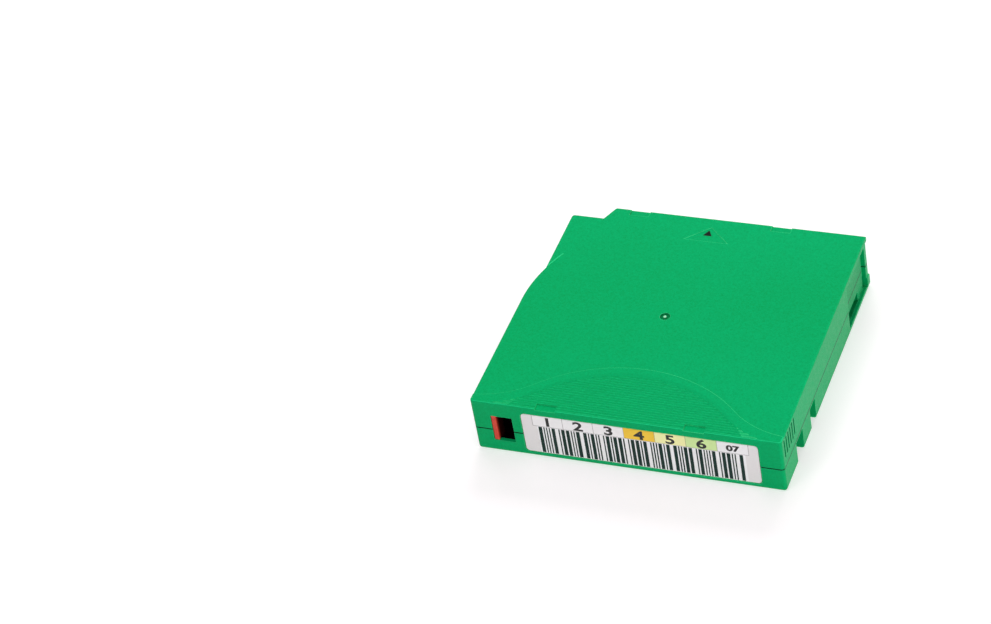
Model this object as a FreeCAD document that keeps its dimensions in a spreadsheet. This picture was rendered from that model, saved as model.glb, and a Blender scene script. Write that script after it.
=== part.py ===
"""Data tape cartridge: a single-reel linear tape cartridge, as a parametric FreeCAD document.

Frame: origin at the centre of the bottom face, +Z up, +Y towards the end that goes into
the drive, the label on the -Y face, the sliding access door on the +X side.
Every length is in millimetres. The sheet "sizes" holds the driving dimensions, and the
variable set "places" holds the levels and positions worked out from them.
"""
import FreeCAD, Part
import math
import os
import re

import Sketcher
from FreeCAD import Vector

SIZES = [
    # the case
    ("case_width", 105.4, "across the label face"),
    ("case_depth", 102.0, "label face to insertion end"),
    ("case_height", 21.5, "over the raised plateau"),
    ("seam_height", 9.4, "where the two shells meet"),
    ("seam_width", 0.3, "height of the groove that shows along the seam"),
    ("seam_groove", 0.6, "depth of that groove"),
    ("wall", 1.5, "side walls"),
    ("floor_thickness", 1.9, "bottom plate"),
    ("roof_thickness", 1.8, "top plate"),
    ("plateau_rise", 0.3, "raised area of the top at the label end"),
    ("corner_radius", 1.1, "upright corners"),
    ("edge_radius", 0.5, "top edges"),
    ("base_radius", 1.1, "bottom edges"),
    ("setback_side", 2.85, "left side, in from the full width behind the reel"),
    ("setback_depth", 6.0, "left rear corner, in from the insertion end"),
    ("setback_width", 14.2, "left side to the foot of the slanted step"),
    ("setback_slant", 2.7, "run of the slanted step"),
    # the top
    ("arch_peak", 24.8, "label face to the top of the arch"),
    ("arch_foot", 3.0, "label face to the foot of the arch"),
    ("arch_radius", 49.7, "middle of the arch"),
    ("flare_radius", 30.6, "ends of the arch"),
    ("grip_row_count", 19.0, "grooves in the plateau"),
    ("grip_pitch", 1.075, "groove to groove"),
    ("grip_width", 0.42, "width of a groove"),
    ("grip_depth", 0.16, "depth of a groove"),
    ("grip_margin", 4.0, "arch to the ends of the grooves"),
    ("grip_start", 0.75, "label face to the first groove"),
    ("pad_width", 6.95, "recess at a top edge, along the edge"),
    ("pad_length", 2.9, "the same recess, in from the edge"),
    ("pad_drop", 0.6, "the same recess, depth"),
    ("pad_spacing", 50.4, "recess to recess"),
    ("pad_shift", 1.5, "middle of the recess pair, left of the case's middle"),
    ("arrow_width", 15.6, "insertion arrow"),
    ("arrow_length", 7.2, "insertion arrow"),
    ("arrow_margin", 4.7, "arrow tip to the insertion end"),
    ("arrow_drop", 0.1, "depth of the arrow"),
    ("gate_radius", 1.75, "moulding gate dimple over the reel"),
    ("gate_nub", 0.5, "radius of the nub in the dimple"),
    ("gate_drop", 0.4, "depth of the dimple"),
    ("bead_width", 0.4, "short bead that goes on round the reel"),
    ("bead_rise", 0.15, "height of that bead"),
    ("bead_sweep", 8.5, "degrees of that bead"),
    # thumb grips and side notches
    ("thumb_pitch", 2.1, "groove to groove on the side"),
    ("thumb_width", 1.0, "width of a side groove"),
    ("thumb_depth", 0.45, "depth of a side groove"),
    ("thumb_start", 2.8, "label face to the first side groove"),
    ("thumb_low", 12.8, "lower end of the side grooves"),
    ("thumb_margin", 1.4, "top to the upper end of the side grooves"),
    ("notch_height", 8.8, "side notches, from the bottom"),
    ("notch_a_start", 13.3, "label face to the first notch"),
    ("notch_a_length", 7.3, "first notch along the side"),
    ("notch_a_depth", 4.6, "first notch, in from the side"),
    ("notch_b_start", 29.1, "label face to the second notch"),
    ("notch_b_length", 5.75, "second notch along the side"),
    ("notch_b_depth", 3.4, "second notch, in from the side"),
    ("inner_wall", 1.0, "walls and ribs inside the case"),
    # label and write-protect window
    ("label_start", 17.2, "left side to the label"),
    ("label_end", 8.1, "label to the right side"),
    ("label_base", 2.1, "bottom to the label"),
    ("label_top", 3.2, "label to the top"),
    ("label_radius", 1.3, "label corners"),
    ("label_thickness", 0.2, "label"),
    ("label_recess", 0.35, "depth of the label's recess"),
    ("label_margin", 0.35, "recess round the label"),
    ("window_start", 6.3, "left side to the write-protect window"),
    ("window_width", 7.55, "write-protect window"),
    ("window_base", 4.9, "bottom to the window"),
    ("window_drop", 5.9, "top to the window"),
    ("slider_rib", 1.7, "finger rib of the write-protect slider"),
    ("slider_width", 6.2, "slider block"),
    ("slider_depth", 3.5, "slider block, front to back"),
    ("slider_headroom", 2.0, "slider to the roof"),
    ("slider_travel", 5.5, "travel of the slider"),
    ("slide_gap", 0.1, "running clearance of what slides"),
    # the reel
    ("reel_offset", 1.95, "reel axis, left of the case's middle"),
    ("reel_clearance", 0.95, "reel flanges to the side walls"),
    ("flange_thickness", 1.1, "lower flange"),
    ("cover_thickness", 1.0, "upper flange"),
    ("reel_lift", 0.2, "reel above the rim that it rests on"),
    ("rim_height", 1.0, "rim round the spindle opening, above the floor"),
    ("hub_radius", 22.0, "outside of the hub"),
    ("cup_radius", 17.4, "inside of the hub"),
    ("reel_headroom", 1.35, "upper flange to the roof"),
    ("flange_margin", 1.5, "flanges past the wound tape"),
    ("pack_gap", 0.1, "tape to each flange"),
    ("spindle_radius", 17.8, "opening in the bottom"),
    ("boss_radius", 17.1, "toothed boss of the reel in that opening"),
    ("tooth_tip_height", 1.3, "bottom of the case to the tips of the drive teeth"),
    ("drive_tooth_height", 1.0, "drive teeth"),
    ("drive_tooth_count", 60.0, "drive teeth"),
    ("drive_ring_inner", 13.4, "drive teeth, inner radius"),
    ("drive_ring_outer", 16.4, "drive teeth, outer radius"),
    ("plate_radius", 12.4, "steel plate under the reel"),
    ("plate_bore", 4.6, "its hole"),
    ("plate_thickness", 1.0, "its thickness"),
    ("hub_floor", 2.2, "floor of the hub over the plate"),
    # the brake
    ("brake_tooth_count", 36.0, "brake teeth round the full circle"),
    ("brake_tooth_height", 1.6, "brake teeth"),
    ("brake_ring_inner", 12.4, "brake teeth, inner radius"),
    ("brake_ring_outer", 15.4, "brake teeth, outer radius"),
    ("brake_root_gap", 0.2, "tips to roots of the brake teeth"),
    ("brake_travel", 2.0, "lift that frees the reel"),
    ("pedestal_height", 1.9, "hub floor to the roots of its brake teeth"),
    ("brake_disc_radius", 16.0, "brake button"),
    ("brake_disc_thickness", 1.6, "brake button"),
    ("stem_radius", 6.4, "stem of the brake button"),
    ("stem_clearance", 1.6, "stem to the roof when the brake is lifted"),
    ("key_length", 9.0, "cross key on the roof, tip to tip"),
    ("key_thickness", 2.0, "arms of the cross key"),
    ("key_overlap", 2.6, "length of the key inside the stem"),
    ("spring_wire", 0.45, "wire radius of the brake spring"),
    ("spring_radius", 8.4, "coil radius of the brake spring"),
    ("spring_turns", 4.0, "coils of the brake spring"),
    ("release_thickness", 1.0, "release plate"),
    ("release_arm", 4.0, "width of its arms"),
    ("release_disc", 6.0, "radius of its middle"),
    ("leg_radius", 1.3, "its legs"),
    ("leg_circle", 14.9, "circle of the legs"),
    ("leg_gap", 0.3, "leg to the hole in the hub"),
    ("nub_radius", 1.8, "pivot nub under the brake button"),
    # the access door
    ("door_inset", 1.3, "door face, in from the side"),
    ("door_thickness", 1.4, "door"),
    ("door_start", 25.4, "insertion end to the edge of the door opening"),
    ("door_post", 2.4, "post at the corner, along the side"),
    ("door_post_depth", 2.3, "the same post, in from the side"),
    ("door_gap", 0.15, "leading edge of the door to the closed end"),
    ("door_block", 4.1, "insertion end to the closed end of the door's way"),
    ("door_overlap", 1.3, "door behind the side wall when closed"),
    ("door_sill", 5.5, "bottom to the sill of the door opening"),
    ("door_tab", 6.4, "tab that reaches down over the pin's way out"),
    ("door_groove", 0.5, "depth of the grooves that guide the door"),
    ("door_travel", 20.0, "travel of the door"),
    ("slot_floor", 1.3, "bottom to the floor of the opener slot"),
    ("slot_depth", 6.7, "opener slot, in from the side"),
    ("post_relief", 0.4, "upper part of the corner post, in from its foot"),
    ("post_foot", 4.6, "bottom to the top of that foot"),
    ("coil_wire", 0.2, "wire radius of the door spring"),
    ("coil_radius", 1.05, "coil radius of the door spring"),
    ("coil_turns", 9.0, "coils of the door spring"),
    ("coil_height", 7.4, "bottom to the axis of the door spring"),
    ("coil_start", 5.45, "second notch to the fixed end of the door spring"),
    # the leader pin
    ("pin_inset_x", 10.2, "right side to the leader pin"),
    ("pin_inset_y", 8.0, "insertion end to the leader pin"),
    ("pin_radius", 1.2, "leader pin"),
    ("pin_head", 2.7, "heads of the leader pin"),
    ("pin_head_height", 0.9, "heads of the leader pin"),
    ("clip_wall", 0.7, "clip round the pin"),
    ("leader_thickness", 0.25, "tape end between reel and pin"),
    ("leader_gap", 0.3, "tape end to the wound tape"),
    ("leaf_thickness", 0.35, "pin retaining spring"),
    ("leaf_height", 1.6, "arms of the pin retaining spring"),
    ("leaf_reach", 5.1, "arms of the pin retaining spring"),
    # fasteners, locating sockets and memory chip
    ("screw_radius", 1.0, "case screws"),
    ("screw_head", 2.1, "heads of the case screws"),
    ("screw_head_height", 1.4, "heads of the case screws"),
    ("screw_length", 12.4, "case screws"),
    ("boss_wall", 3.2, "radius of the screw bosses"),
    ("screw_rear_x", 19.2, "sides to the rear screws"),
    ("screw_rear_y", 4.3, "rear screws, from the insertion end"),
    ("screw_left_x", 18.7, "left side to the front left screw"),
    ("screw_right_x", 6.7, "right side to the front right screw"),
    ("screw_front_y", 4.9, "front screws, from the label face"),
    ("socket_radius", 2.4, "locating sockets in the bottom"),
    ("socket_depth", 5.0, "locating sockets in the bottom"),
    ("socket_side", 11.7, "sides to the locating sockets"),
    ("socket_y", 12.6, "locating sockets, from the label face"),
    ("socket_slot", 1.2, "lengthening of the left socket"),
    ("chip_length", 8.0, "memory chip, down the slope"),
    ("chip_width", 7.2, "memory chip, along the case"),
    ("chip_thickness", 0.8, "memory chip"),
    ("cradle_leg", 7.0, "foot and height of the chip's 45 degree cradle"),
    ("cradle_x", 4.6, "left rear side to the cradle"),
    ("cradle_y", 18.2, "insertion end to the front of the cradle"),
]

PLACES = [
    ("half_width", "case_width / 2"),
    ("half_depth", "case_depth / 2"),
    ("top", "case_height - plateau_rise"),
    ("ceiling", "top - roof_thickness"),
    ("setback_x", "setback_side - half_width"),
    ("setback_y", "half_depth - setback_depth"),
    ("step_x", "setback_width - half_width"),
    ("reel_x", "0 - reel_offset"),
    ("relief_radius", "half_width - reel_offset"),
    ("flange_radius", "min(relief_radius; half_depth) - wall - reel_clearance"),
    ("pack_radius", "flange_radius - flange_margin"),
    ("arch_y", "arch_peak - half_depth"),
    ("foot_y", "arch_foot - half_depth"),
    ("arch_centre", "arch_y - arch_radius"),
    ("flare_centre", "foot_y + flare_radius"),
    ("flare_x", "sqrt((arch_radius + flare_radius)^2 - (flare_centre - arch_centre)^2)"),
    # heights of the reel and the brake, from the bottom up
    ("reel_base", "floor_thickness + rim_height + reel_lift"),
    ("pack_base", "reel_base + flange_thickness + pack_gap"),
    ("cover_base", "ceiling - reel_headroom - cover_thickness"),
    ("pack_top", "cover_base - pack_gap"),
    ("tape_width", "pack_top - pack_base"),
    ("tooth_root", "tooth_tip_height + drive_tooth_height"),
    ("cup_floor", "tooth_root + plate_thickness + hub_floor"),
    ("brake_root", "cup_floor + pedestal_height"),
    ("brake_tip", "brake_root + brake_root_gap"),
    ("disc_base", "brake_tip + brake_tooth_height"),
    ("disc_top", "disc_base + brake_disc_thickness"),
    ("stem_top", "ceiling - brake_travel - stem_clearance"),
    ("key_base", "stem_top - key_overlap"),
    ("release_base", "cup_floor + slide_gap"),
    ("release_top", "release_base + release_thickness"),
    # the door and what is round it
    ("door_face", "half_width - door_inset"),
    ("door_back", "door_face - door_thickness"),
    ("opening_y", "half_depth - door_start"),
    ("block_y", "half_depth - door_block"),
    ("door_front", "block_y - door_gap"),
    ("door_rear", "opening_y - door_overlap"),
    ("door_low", "floor_thickness - door_groove + slide_gap"),
    ("door_high", "ceiling + door_groove - slide_gap"),
    ("tab_y", "door_front - door_tab"),
    ("way_low", "door_rear - door_travel - slide_gap"),
    ("coil_x", "door_back + slide_gap"),
    ("coil_end", "notch_b_start + notch_b_length - half_depth + coil_start"),
    ("head_height", "ceiling - slide_gap"),
    # the leader pin
    ("pin_x", "half_width - pin_inset_x"),
    ("pin_y", "half_depth - pin_inset_y"),
    ("pin_low", "floor_thickness + 0.5 * slide_gap"),
    ("pin_high", "ceiling - 2 * slide_gap"),
    ("seat_radius", "pin_head + 1.5 * slide_gap"),
    ("seat_height", "1.4 * pin_head_height"),
    ("leaf_y", "pin_y + seat_radius"),
    # the write-protect slider
    ("label_width", "case_width - label_start - label_end"),
    ("label_height", "case_height - label_base - label_top"),
    ("thumb_high", "case_height - thumb_margin"),
    ("window_height", "case_height - window_base - window_drop"),
    ("slider_top", "ceiling - slider_headroom"),
    ("window_x", "window_start - half_width"),
    ("slider_x", "window_x + slider_rib + slide_gap"),
    ("slider_y", "wall - half_depth + slide_gap"),
    ("rail_y", "slider_y + slider_depth + slide_gap"),
    # screws, sockets and chip
    ("screw_low", "0.3 * slide_gap + 0.3"),
    ("socket_x", "half_width - socket_side"),
    ("chip_x", "setback_x + cradle_x"),
    ("chip_y", "half_depth - cradle_y"),
]

doc = FreeCAD.newDocument("data_tape_cartridge")
sheet = doc.addObject("Spreadsheet::Sheet", "sizes")
places = doc.addObject("App::VarSet", "places")
SIZE_NAMES = [name for name, _, _ in SIZES]
PLACE_NAMES = [name for name, _ in PLACES]


# ---------------------------------------------------------------- document helpers


def named(formula):
    """A formula with each size and place written as the document knows it."""

    def full(match):
        word = match.group(0)
        if word in SIZE_NAMES:
            return "sizes." + word
        return "places." + word if word in PLACE_NAMES else word

    return re.sub(r"[a-z_]+", full, str(formula))


def value(formula):
    """The number that a formula gives now."""
    return float(places.evalExpression(named(formula)))


def bind(item, **formulas):
    """Bind properties of an object to formulas; Base_x stands for Placement.Base.x."""
    for key, formula in formulas.items():
        path = key.replace("Base_", "Placement.Base.") if key.startswith("Base_") else key
        item.setExpression(path, named(formula))
    return item


def box(name, x, y, z):
    """A block between two formulas along each axis."""
    item = doc.addObject("Part::Box", name)
    bind(item, Length=f"({x[1]}) - ({x[0]})", Width=f"({y[1]}) - ({y[0]})")
    bind(item, Height=f"({z[1]}) - ({z[0]})", Base_x=x[0], Base_y=y[0], Base_z=z[0])
    return item


def rod(name, radius, x, y, z):
    """An upright cylinder between two heights."""
    item = doc.addObject("Part::Cylinder", name)
    bind(item, Radius=radius, Height=f"({z[1]}) - ({z[0]})", Base_x=x, Base_y=y, Base_z=z[0])
    return item


def post(name, side_count, radius, x, y, z):
    """An upright prism of a regular polygon between two heights."""
    item = doc.addObject("Part::Prism", name)
    item.Polygon = side_count
    bind(item, Circumradius=radius, Height=f"({z[1]}) - ({z[0]})", Base_x=x, Base_y=y, Base_z=z[0])
    return item


def rod_along_y(name, radius, x, y, z):
    """A cylinder along Y between two places."""
    item = doc.addObject("Part::Cylinder", name)
    item.Placement = FreeCAD.Placement(Vector(), FreeCAD.Rotation(Vector(1, 0, 0), -90))
    bind(item, Radius=radius, Height=f"({y[1]}) - ({y[0]})", Base_x=x, Base_y=y[0], Base_z=z)
    return item


def fuse(name, *parts):
    item = doc.addObject("Part::MultiFuse", name)
    item.Shapes = list(parts)
    item.Refine = False
    return item


def cut(name, base, *tools, refine=False):
    item = doc.addObject("Part::Cut", name)
    item.Base = base
    item.Tool = tools[0] if len(tools) == 1 else fuse(name + "_tools", *tools)
    item.Refine = refine
    return item


def common(name, first, second):
    item = doc.addObject("Part::Common", name)
    item.Base = first
    item.Tool = second
    return item


def ring(name, outer, inner, x, y, z):
    """An upright tube; its bore runs past both ends."""
    past = (f"{z[0]} - 1", f"{z[1]} + 1")
    return cut(name, rod(name + "_outside", outer, x, y, z), rod(name + "_bore", inner, x, y, past))


def solid_feature(name, shape):
    item = doc.addObject("Part::Feature", name)
    item.Shape = shape
    return item


def draw_loop(sketch, corners, arcs=None):
    """A closed loop of lines through corners, each bound to its two formulas.

    arcs maps an edge's number to the formulas of its centre and its turn, "left" or
    "right"; None in a corner leaves that coordinate to the arc beside it.
    """
    arcs = arcs or {}
    count = len(corners)
    spots = [Vector(value(x), value(y), 0) for x, y, *_ in corners]
    for i in range(count):
        start, end = spots[i], spots[(i + 1) % count]
        if i in arcs:
            centre = Vector(value(arcs[i][0]), value(arcs[i][1]), 0)
            left = arcs[i][2] == "left"
            first, last = (start, end) if left else (end, start)
            circle = Part.Circle(centre, Vector(0, 0, 1), (start - centre).Length)
            angles = [math.atan2(p.y - centre.y, p.x - centre.x) for p in (first, last)]
            if angles[1] <= angles[0]:
                angles[1] += 2 * math.pi
            sketch.addGeometry(Part.ArcOfCircle(circle, *angles), False)
        else:
            sketch.addGeometry(Part.LineSegment(start, end), False)
    def ends(i):
        flipped = i in arcs and arcs[i][2] == "right"
        return (2, 1) if flipped else (1, 2)
    for i in range(count):
        follower = (i + 1) % count
        sketch.addConstraint(
            Sketcher.Constraint("Coincident", i, ends(i)[1], follower, ends(follower)[0])
        )
    for i, corner in enumerate(corners):
        free = corner[2] if len(corner) > 2 else ""
        for axis, formula in enumerate(corner[:2]):
            if "xy"[axis] in free:
                continue
            pin_down(sketch, i, ends(i)[0], axis, formula)
    for i, (x, y, _) in arcs.items():
        pin_down(sketch, i, 3, 0, x)
        pin_down(sketch, i, 3, 1, y)


def pin_down(sketch, edge, point, axis, formula):
    """Bind one coordinate of a sketch point to a formula."""
    number = value(formula)
    if abs(number) < 1e-9 and str(formula) in ("0", "0.0"):
        sketch.addConstraint(Sketcher.Constraint("PointOnObject", edge, point, -2 + axis))
        return
    kind = ("DistanceX", "DistanceY")[axis]
    index = sketch.addConstraint(Sketcher.Constraint(kind, -1, 1, edge, point, number))
    title = f"{'xy'[axis]}_{edge}_{point}"
    sketch.renameConstraint(index, title)
    sketch.setExpression("Constraints." + title, named(formula))


def prism(name, corners, z, arcs=None):
    """An upright extrusion of a bound loop between two heights."""
    sketch = doc.addObject("Sketcher::SketchObject", name + "_outline")
    draw_loop(sketch, corners, arcs)
    bind(sketch, Base_z=z[0])
    item = doc.addObject("Part::Extrusion", name)
    item.Base = sketch
    item.DirMode = "Custom"
    item.Dir = Vector(0, 0, 1)
    item.Solid = True
    bind(item, LengthFwd=f"({z[1]}) - ({z[0]})")
    return item


def turned(name, corners, x, y, loose=()):
    """A body turned about an upright axis at (x, y) from a bound (radius, height) loop."""
    body = doc.addObject("PartDesign::Body", name)
    plane = [f for f in body.Origin.OriginFeatures if f.Role == "XZ_Plane"][0]
    sketch = body.newObject("Sketcher::SketchObject", name + "_profile")
    sketch.AttachmentSupport = [(plane, "")]
    sketch.MapMode = "FlatFace"
    draw_loop(sketch, corners)
    turn = body.newObject("PartDesign::Revolution", name + "_turn")
    turn.Profile = sketch
    turn.ReferenceAxis = (sketch, ["V_Axis"])
    turn.Angle = 360.0
    body.Tip = turn
    bind(body, Base_x=x, Base_y=y)
    return body


def rounded(name, base, radius, chosen):
    """Round the edges of a solid that a test picks by their middle and direction."""
    doc.recompute()
    picked = []
    for number, edge in enumerate(base.Shape.Edges, start=1):
        box_ = edge.BoundBox
        if chosen(edge.CenterOfMass, Vector(box_.XLength, box_.YLength, box_.ZLength)):
            picked.append((number, radius, radius))
    item = doc.addObject("Part::Fillet", name)
    item.Base = base
    item.Edges = picked
    return item


def finished(label, item):
    """Name the object that is a whole piece."""
    item.Label = label
    pieces.append(item)
    return item


def mirrored_x(pair):
    """The same interval on the other side of the case."""
    return (f"0 - ({pair[1]})", f"0 - ({pair[0]})")


# ---------------------------------------------------------------- forms that repeat


def case_block(name, inset, z):
    """The case's outline, drawn in by inset, between two heights."""
    i = inset
    corners = [
        (f"{i} - half_width", f"{i} - half_depth"),
        (f"half_width - {i}", f"{i} - half_depth"),
        (f"half_width - {i}", f"half_depth - {i}"),
        (f"step_x + setback_slant + {i}", f"half_depth - {i}"),
        (f"step_x + {i}", f"setback_y - {i}"),
        (f"setback_x + {i}", f"setback_y - {i}"),
        (
            f"setback_x + {i}",
            f"sqrt((relief_radius - {i})^2 - (setback_x + {i} - reel_x)^2)",
            "y",
        ),
        (f"{i} - half_width", "0"),
    ]
    return prism(name, corners, z, {6: ("reel_x", "0", "left")})


def arch_block(name, inset, z):
    """The region between the arch, drawn in by inset, and past the label face."""
    i = inset
    past = "half_width + 5"
    share = f"(arch_radius - {i}) / (arch_radius + flare_radius)"
    joint_x = f"flare_x * {share}"
    joint_y = f"arch_centre + (flare_centre - arch_centre) * {share}"
    end_y = f"flare_centre - sqrt((flare_radius + {i})^2 - (flare_x - half_width)^2)"
    corners = [
        (f"0 - ({past})", "0 - half_depth - 5"),
        (past, "0 - half_depth - 5"),
        (past, end_y),
        ("half_width", end_y, "y"),
        (joint_x, joint_y),
        (f"0 - {joint_x}", joint_y, "y"),
        ("0 - half_width", end_y, "y"),
        (f"0 - ({past})", end_y),
    ]
    arcs = {
        3: ("flare_x", "flare_centre", "right"),
        4: ("0", "arch_centre", "left"),
        5: ("0 - flare_x", "flare_centre", "right"),
    }
    return prism(name, corners, z, arcs)


def notch_boxes(name, wall, z):
    """The four side notches, or with a wall the blocks that hold them."""
    boxes = []
    for letter in ("a", "b"):
        start = f"notch_{letter}_start - half_depth"
        y = (f"{start} - {wall}", f"{start} + notch_{letter}_length + {wall}")
        outside = "half_width + 1" if wall == "0" else "half_width - 0.5 * wall"
        x = (f"half_width - notch_{letter}_depth - {wall}", outside)
        boxes.append(box(f"{name}_{letter}_right", x, y, z))
        boxes.append(box(f"{name}_{letter}_left", mirrored_x(x), y, z))
    return boxes


SCREWS = [
    ("screw_front_left", "screw_left_x - half_width", "screw_front_y - half_depth"),
    ("screw_front_right", "half_width - screw_right_x", "screw_front_y - half_depth"),
    ("screw_rear_left", "screw_rear_x - half_width", "half_depth - screw_rear_y"),
    ("screw_rear_right", "half_width - screw_rear_x", "half_depth - screw_rear_y"),
]


def tooth_ring(name, count, inner, outer, root, height, up, shift, skipped=()):
    """A ring of face teeth: trapezia that narrow towards the axis and towards the tip."""
    pitch = 2 * math.pi / count
    teeth = []
    for index in range(count):
        middle = (index + shift) * pitch
        if any(abs(math.remainder(middle - gap, 2 * math.pi)) < width for gap, width in skipped):
            continue
        wires = []
        for radius in (inner, outer):
            spots = []
            for share, level in ((-ROOT_SHARE, 0), (-TIP_SHARE, 1), (TIP_SHARE, 1), (ROOT_SHARE, 0)):
                angle = middle + share * pitch
                z = root + up * (height * level - TOOTH_SINK * (1 - level))
                spots.append(Vector(radius * math.cos(angle), radius * math.sin(angle), z))
            wires.append(Part.makePolygon(spots + spots[:1]))
        teeth.append(Part.makeLoft(wires, True, True))
    compound = Part.Compound(teeth)
    compound.translate(Vector(value("reel_x"), 0, 0))
    return solid_feature(name, compound)


ROOT_SHARE = 0.31    # half of a tooth's width at its root, as a share of the pitch
TIP_SHARE = 0.12     # the same at its tip
TOOTH_SINK = 0.1     # how far a tooth's root reaches into its ring


def coil(name, radius, wire, length, turns, place):
    """A compression spring on the Z axis of place, its ends one wire radius inside length."""
    step_count = 8
    side_count = 4
    count = int(round(turns * step_count))
    rise = (length - 2 * wire) / count
    sections = []
    for step in range(count + 1):
        turn = 2 * math.pi * step / step_count
        out = Vector(math.cos(turn), math.sin(turn), 0)
        centre = out * radius + Vector(0, 0, wire + rise * step)
        spots = []
        for side in range(side_count):
            lean = 2 * math.pi * side / side_count
            spots.append(centre + out * (wire * math.cos(lean)) + Vector(0, 0, wire * math.sin(lean)))
        sections.append(Part.makePolygon(spots + spots[:1]))
    item = solid_feature(name, Part.makeLoft(sections, True, True))
    item.Placement = place
    return item


# ---------------------------------------------------------------- the two shells


def reel_guard(name, z):
    """Arc ribs that keep dust off the reel, left out on the tape's way to the door."""
    guard = ring(
        name + "_ring",
        "flange_radius + 0.7 + inner_wall",
        "flange_radius + 0.7",
        "reel_x",
        "0",
        z,
    )
    room = case_block(name + "_room", "0.6 * wall", z)
    way = box(name + "_way", ("14", "half_width"), ("0 - 14", "half_depth"), (f"{z[0]} - 1", f"{z[1]} + 1"))
    return cut(name, common(name + "_inside", guard, room), way)


def pin_seat(name, z):
    """A seat for one head of the leader pin, open towards the door."""
    seat = ring(name + "_ring", "seat_radius + inner_wall", "seat_radius", "pin_x", "pin_y", z)
    past = (f"{z[0]} - 1", f"{z[1]} + 1")
    way = box(name + "_way", ("pin_x", "half_width"), ("pin_y - 2 * pin_head", "half_depth"), past)
    spring_room = box(
        name + "_spring_room",
        ("pin_x - 2 * pin_head", "half_width"),
        ("leaf_y - 0.6 * leaf_thickness", "half_depth"),
        past,
    )
    leader_room = box(
        name + "_leader_room",
        ("pin_x - slide_gap", "half_width"),
        ("pin_y - 2 * pin_head", "pin_y"),
        past,
    )
    return cut(name, seat, way, spring_room, leader_room)


def upright_corners(middle, size):
    """True on the case's square upright corners, where a finger would feel an edge."""
    sharp = abs(abs(middle.x) - value("half_width")) < 0.01
    sharp = sharp and abs(abs(middle.y) - value("half_depth")) < 0.01
    sharp = sharp and not (middle.x > 0 and middle.y > 0)
    behind = abs(middle.x - value("setback_x")) < 0.01 and abs(middle.y - value("setback_y")) < 0.01
    step = abs(middle.x - value("step_x + setback_slant")) < 0.01
    return size.z > 1 and (sharp or behind or step)


def level_edges(height):
    """A test for the edges that lie at one height."""
    return lambda middle, size: size.z < 0.001 and abs(middle.z - height) < 0.001


def shell_cuts(name, z):
    """What both shells lose: label recess, window, door opening and the door's way."""
    past_side = "half_width + 1"
    label_x = ("label_start - half_width - label_margin", "half_width - label_end + label_margin")
    label = box(
        name + "_label_recess",
        label_x,
        ("0 - half_depth - 1", "label_recess - half_depth"),
        ("label_base - label_margin", "label_base + label_height + label_margin"),
    )
    label = rounded(
        name + "_label_room",
        label,
        value("label_radius + label_margin"),
        lambda middle, size: size.y > 1,
    )
    window = box(
        name + "_window",
        ("window_x", "window_x + window_width"),
        ("0 - half_depth - 1", "wall - half_depth + 0.5"),
        ("window_base", "window_base + window_height"),
    )
    opening = box(
        name + "_door_opening",
        ("door_face - 0.5 * door_thickness", past_side),
        ("opening_y", "half_depth - door_post"),
        ("door_sill", "head_height"),
    )
    door_way = box(
        name + "_door_way",
        ("door_back - slide_gap", "door_face + slide_gap"),
        ("way_low", "block_y"),
        ("floor_thickness", "ceiling"),
    )
    coil_way = box(
        name + "_coil_way",
        ("coil_x - coil_radius - 3 * coil_wire", "door_face + slide_gap"),
        ("coil_end", "opening_y - inner_wall"),
        ("coil_height - 2 * coil_radius", "coil_height + 2 * coil_radius"),
    )
    post_z = ("post_foot", "head_height")
    post_y = ("half_depth - door_post - 1", "half_depth + 1")
    side = box(name + "_post_side", ("half_width - post_relief", past_side), post_y, post_z)
    post_x = ("half_width - door_post_depth - 1", past_side)
    end = box(name + "_post_end", post_x, ("half_depth - post_relief", "half_depth + 1"), post_z)
    return [label, window, opening, door_way, coil_way, side, end]


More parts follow.
